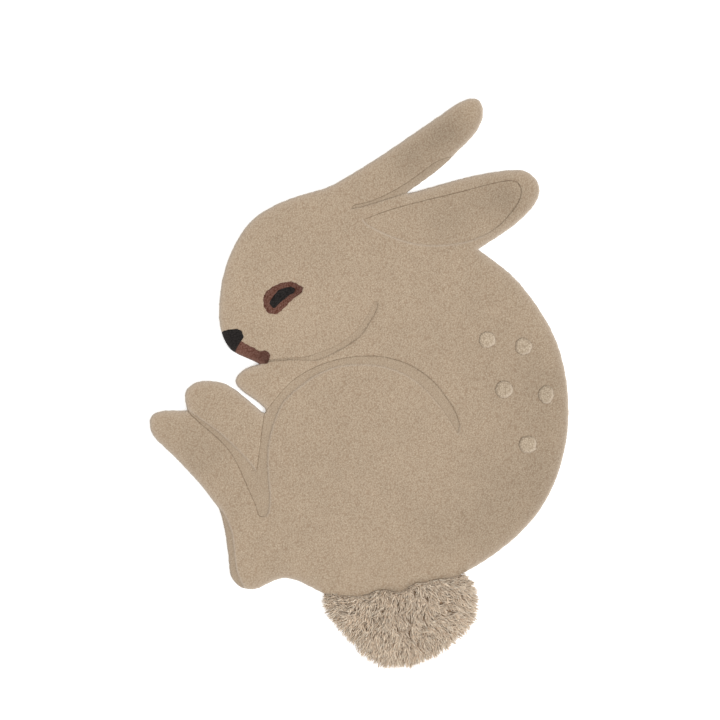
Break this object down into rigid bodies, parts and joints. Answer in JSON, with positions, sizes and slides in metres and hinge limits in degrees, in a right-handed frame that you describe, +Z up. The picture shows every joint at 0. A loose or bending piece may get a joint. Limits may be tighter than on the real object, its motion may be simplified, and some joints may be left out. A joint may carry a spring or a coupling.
{
  "type": "rabbit shaped rug",
  "caption": "Flat tufted rug in the outline of a sitting rabbit, with carved lines, an eye, nose and mouth in darker yarn, round tufts on the back and a tail of long shag.",
  "frame": {"origin": "on the floor under the middle of the rug's bounding box", "axes": "+Z up, off the floor; +Y from the tail to the ears; +X from the feet to the back, so the rabbit looks towards -X"},
  "size_m": [0.88, 1.1999, 0.033],
  "materials": {
    "beige_pile": "dense cut wool pile, matte, warm beige",
    "pale_pile": "fuller cut wool pile, matte, paler beige",
    "brown_pile": "dense cut wool pile, matte, chestnut brown",
    "black_pile": "dense cut wool pile, matte, near black",
    "beige_shag": "long shag yarn in tapered locks, beige with dark gaps and pale tips"
  },
  "bodies": {
    "root": {"rug_field": "beige_pile", "eye_ring": "brown_pile", "pupil": "black_pile", "nose": "black_pile", "mouth": "brown_pile", "dot_1": "pale_pile", "dot_2": "pale_pile", "dot_3": "pale_pile", "dot_4": "pale_pile", "dot_5": "pale_pile", "tail": "beige_shag"}
  },
  "joints": []
}
